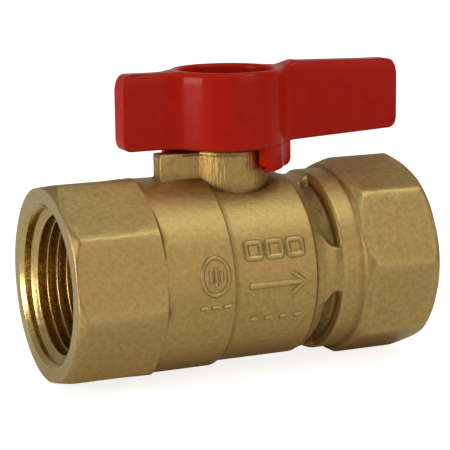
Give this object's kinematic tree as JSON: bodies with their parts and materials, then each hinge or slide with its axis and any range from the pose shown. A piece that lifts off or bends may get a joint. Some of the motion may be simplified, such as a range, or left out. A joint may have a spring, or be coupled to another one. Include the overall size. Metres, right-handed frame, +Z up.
{
  "type": "quarter-turn ball valve",
  "caption": "Forged brass ball valve with female pipe threads at both octagonal ends and a red plate lever that turns a quarter turn to shut a round bore.",
  "frame": {"origin": "where the pipe axis meets the stem axis, at the centre of the ball", "axes": "+X along the pipe towards the end cap and the lever's long arm, +Z up the stem, +Y to the back"},
  "size_m": [0.083, 0.0438, 0.0661],
  "materials": {
    "forged_brass": "forged and tumbled, with turned faces",
    "turned_brass": "turned bright",
    "chrome_plate": "polished",
    "red_enamel": "glossy baked enamel on die-cast metal",
    "ptfe": "smooth, waxy",
    "seal_rubber": "matt black",
    "zinc_steel": "bright zinc plate"
  },
  "bodies": {
    "valve_body": {"body": "forged_brass", "end_cap": "forged_brass", "cap_seal": "ptfe", "body_seat": "ptfe", "cap_seat": "ptfe", "thrust_washer": "ptfe", "packing_ring_lower": "ptfe", "packing_ring_upper": "ptfe", "gland_washer": "turned_brass", "gland_nut": "turned_brass"},
    "lever": {"stem": "turned_brass", "stem_o_ring": "seal_rubber", "lever": "red_enamel", "lever_washer": "zinc_steel", "lever_nut": "zinc_steel"},
    "ball": {"ball": "chrome_plate"}
  },
  "joints": [
    {"name": "lever_turn", "type": "hinge", "parent": "valve_body", "child": "lever", "pos_m": [0, 0, 0.03], "axis": [0, 0, 1], "range_deg": [-90, 0]},
    {"name": "ball_turn", "type": "hinge", "parent": "valve_body", "child": "ball", "pos_m": [0, 0, 0], "axis": [0, 0, 1], "range_deg": [-90, 0]}
  ],
  "couplings": [
    {"joint": "ball_turn", "follows": "lever_turn", "ratio": 1}
  ]
}
